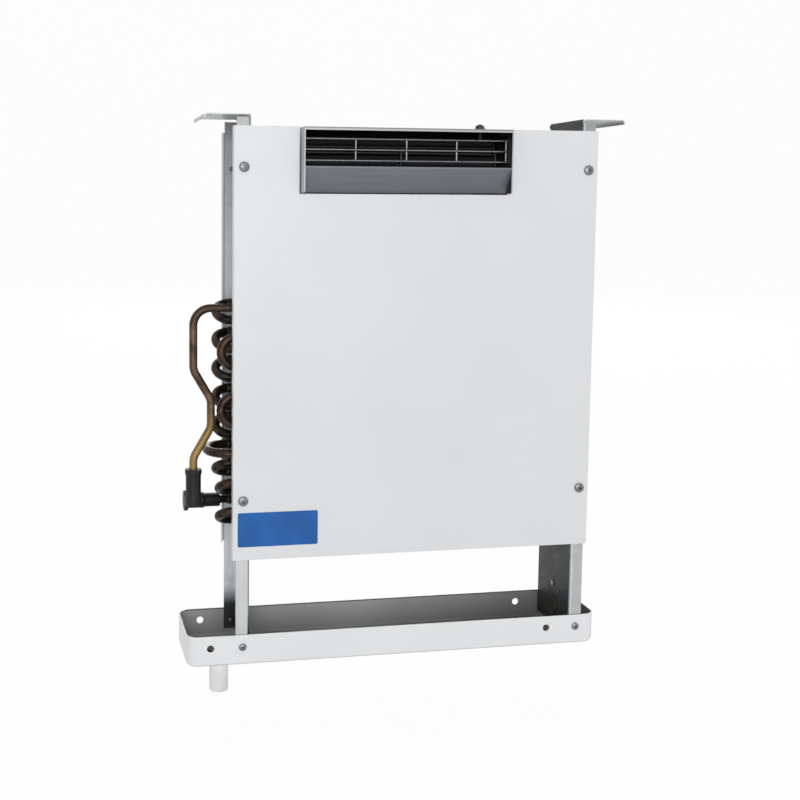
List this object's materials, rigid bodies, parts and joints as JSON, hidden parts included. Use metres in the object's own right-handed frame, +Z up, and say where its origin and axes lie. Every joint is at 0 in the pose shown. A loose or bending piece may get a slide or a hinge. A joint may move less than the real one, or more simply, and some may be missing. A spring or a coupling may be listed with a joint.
{
  "type": "counter evaporator",
  "caption": "Slim vertical finned-coil evaporator on two hanging end plates, with a cross-flow fan and grille at the top and a drip tray with drain below.",
  "frame": {"origin": "centre of the ceiling plane, on top of the two hanging ears", "axes": "+X to the right seen from the air outlet, +Y to the back, +Z up"},
  "size_m": [0.39, 0.088, 0.51],
  "materials": {
    "galvanised": "galvanised sheet",
    "painted_panel": "pale grey-white satin paint",
    "tray_sheet": "white outside, bare grey metal inside",
    "label_blue": "plain blue adhesive label",
    "housing_sheet": "pale grey sheet",
    "screw_zinc": "zinc plated",
    "copper_dark": "dark tarnished copper",
    "copper_gold": "brown to golden tarnished copper",
    "fin_aluminium": "plain aluminium",
    "wheel_aluminium": "plain aluminium",
    "black_rubber": "black moulded rubber",
    "brown_rubber": "brown moulded rubber",
    "white_plastic": "white moulded plastic",
    "grille_wire": "bright plated wire",
    "shaft_steel": "ground steel",
    "stator_steel": "laminated sheet, varnished",
    "bobbin_plastic": "cream moulded plastic",
    "winding_wire": "enamelled copper wire under clear tape",
    "bracket_cast": "die-cast zinc alloy",
    "bush_bronze": "sintered bronze"
  },
  "bodies": {
    "frame": {"left_end_plate": "galvanised", "right_end_plate": "galvanised", "front_panel": "painted_panel", "rear_panel": "painted_panel", "drip_tray": "tray_sheet", "blank_label": "label_blue", "left_side_plate": "housing_sheet", "right_side_plate": "housing_sheet", "scroll_sheet": "housing_sheet", "tongue_sheet": "housing_sheet", "front_panel_screws": "screw_zinc", "rear_panel_screws": "screw_zinc", "front_tray_screws": "screw_zinc", "rear_tray_screws": "screw_zinc", "fan_fixing_screws": "screw_zinc", "hood_screw": "screw_zinc", "hood_nut": "screw_zinc", "motor_screws": "screw_zinc", "motor_spacers": "screw_zinc", "plate_rivet": "screw_zinc", "hairpin_tubes": "copper_dark", "return_bends": "copper_dark", "crossover_bend": "copper_dark", "inlet_pipe": "copper_dark", "outlet_pipe": "copper_gold", "fins": "fin_aluminium", "bearing_boot": "black_rubber", "drain_seal": "black_rubber", "plate_grommet": "brown_rubber", "drain_spigot": "white_plastic", "outlet_grille": "grille_wire", "stator_frame": "stator_steel", "winding_bobbin": "bobbin_plastic", "stator_winding": "winding_wire", "left_motor_bracket": "bracket_cast", "right_motor_bracket": "bracket_cast", "axle_bush": "bush_bronze"},
    "fan_impeller": {"fan_wheel": "wheel_aluminium", "wheel_hub": "black_rubber", "stub_axle": "shaft_steel", "motor_shaft": "shaft_steel", "motor_rotor": "shaft_steel"},
    "outlet_pipe_cap": {"outlet_cap": "black_rubber"},
    "inlet_pipe_cap": {"inlet_cap": "black_rubber"}
  },
  "joints": [
    {"name": "fan_spin", "type": "hinge", "parent": "frame", "child": "fan_impeller", "pos_m": [-0.0138, -0.003, -0.0365], "axis": [1, 0, 0], "continuous": true},
    {"name": "outlet_cap_pull", "type": "slide", "parent": "frame", "child": "outlet_pipe_cap", "axis": [0, 0, -1], "range_m": [0, 0.03]},
    {"name": "inlet_cap_pull", "type": "slide", "parent": "frame", "child": "inlet_pipe_cap", "axis": [-1, 0, 0], "range_m": [0, 0.03]}
  ]
}
